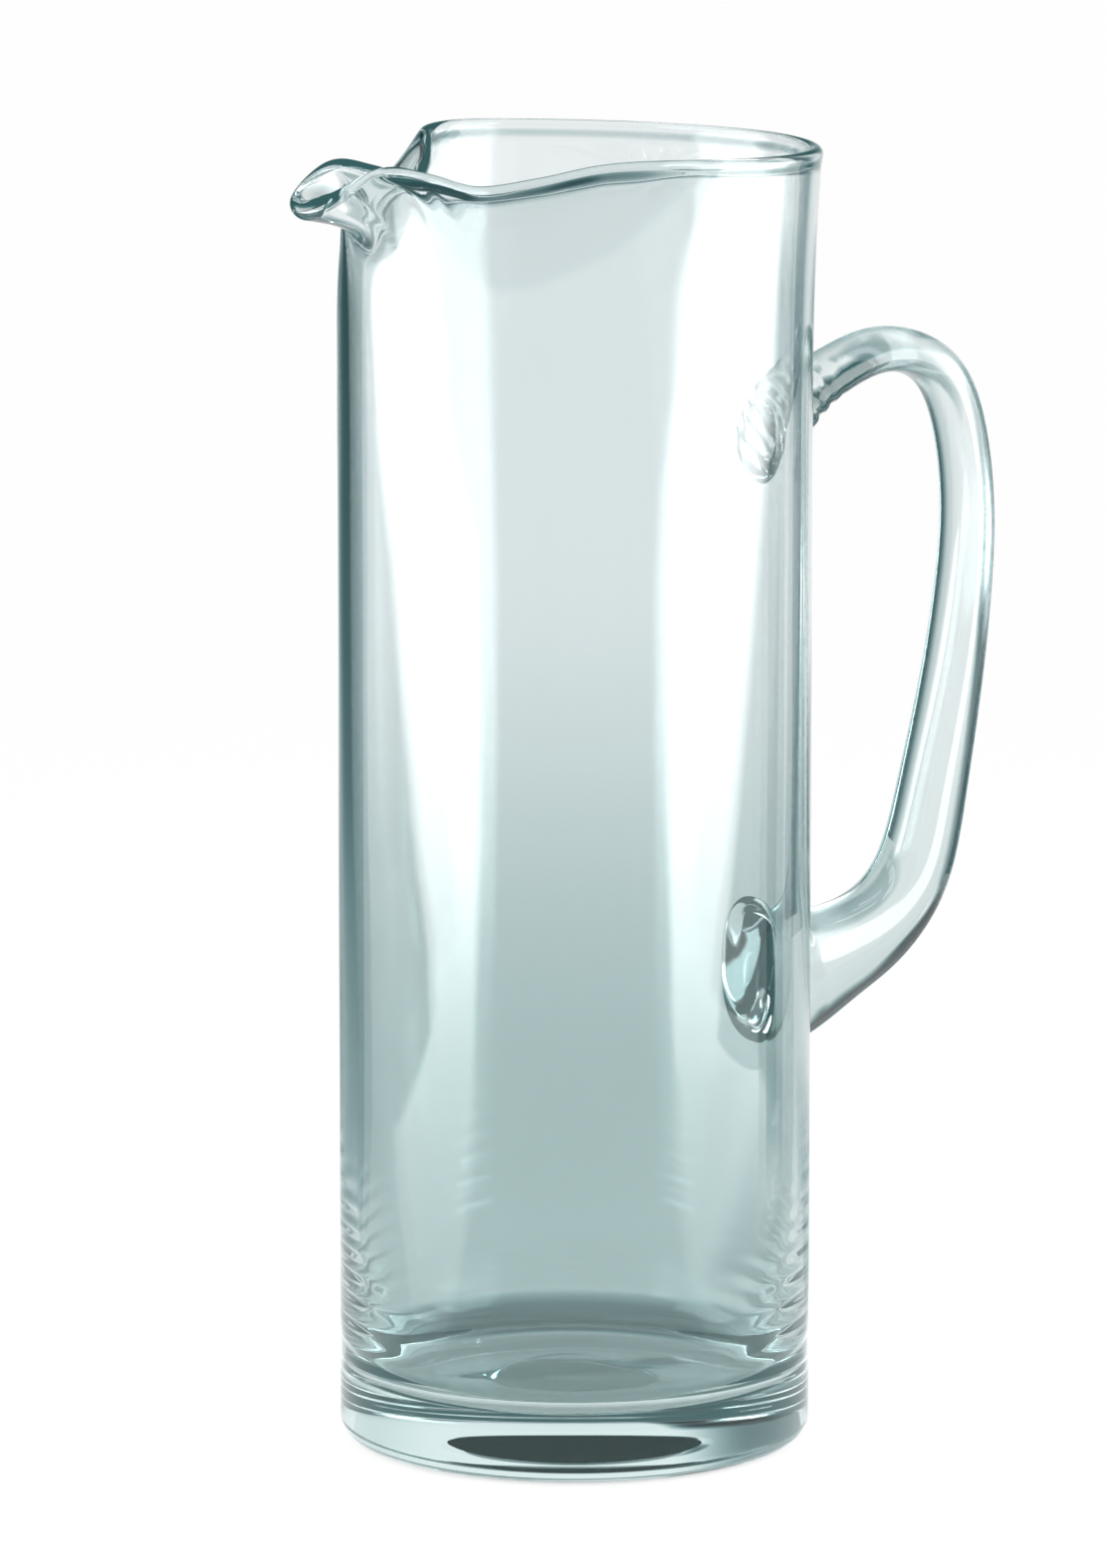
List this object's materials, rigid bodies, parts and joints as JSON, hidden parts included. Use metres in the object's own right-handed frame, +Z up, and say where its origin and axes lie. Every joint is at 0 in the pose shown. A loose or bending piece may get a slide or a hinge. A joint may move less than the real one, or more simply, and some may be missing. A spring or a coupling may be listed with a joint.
{
  "type": "glass water jug",
  "caption": "Clear blown-glass water jug with a straight round body, thick base, pinched pouring lip and an applied solid glass handle.",
  "frame": {"origin": "on the axis of the round body, in the plane of the ring that the base stands on", "axes": "+Z up along the axis of the body, +X toward the handle, -X toward the pouring lip, +Y to the left of the handle seen from above"},
  "size_m": [0.1766, 0.1016, 0.2771],
  "materials": {
    "body_glass": "fire-polished, clear with a pale grey-green tint",
    "handle_glass": "fire-polished, clear with a pale grey-green tint"
  },
  "bodies": {
    "root": {"body": "body_glass", "handle": "handle_glass"}
  },
  "joints": []
}
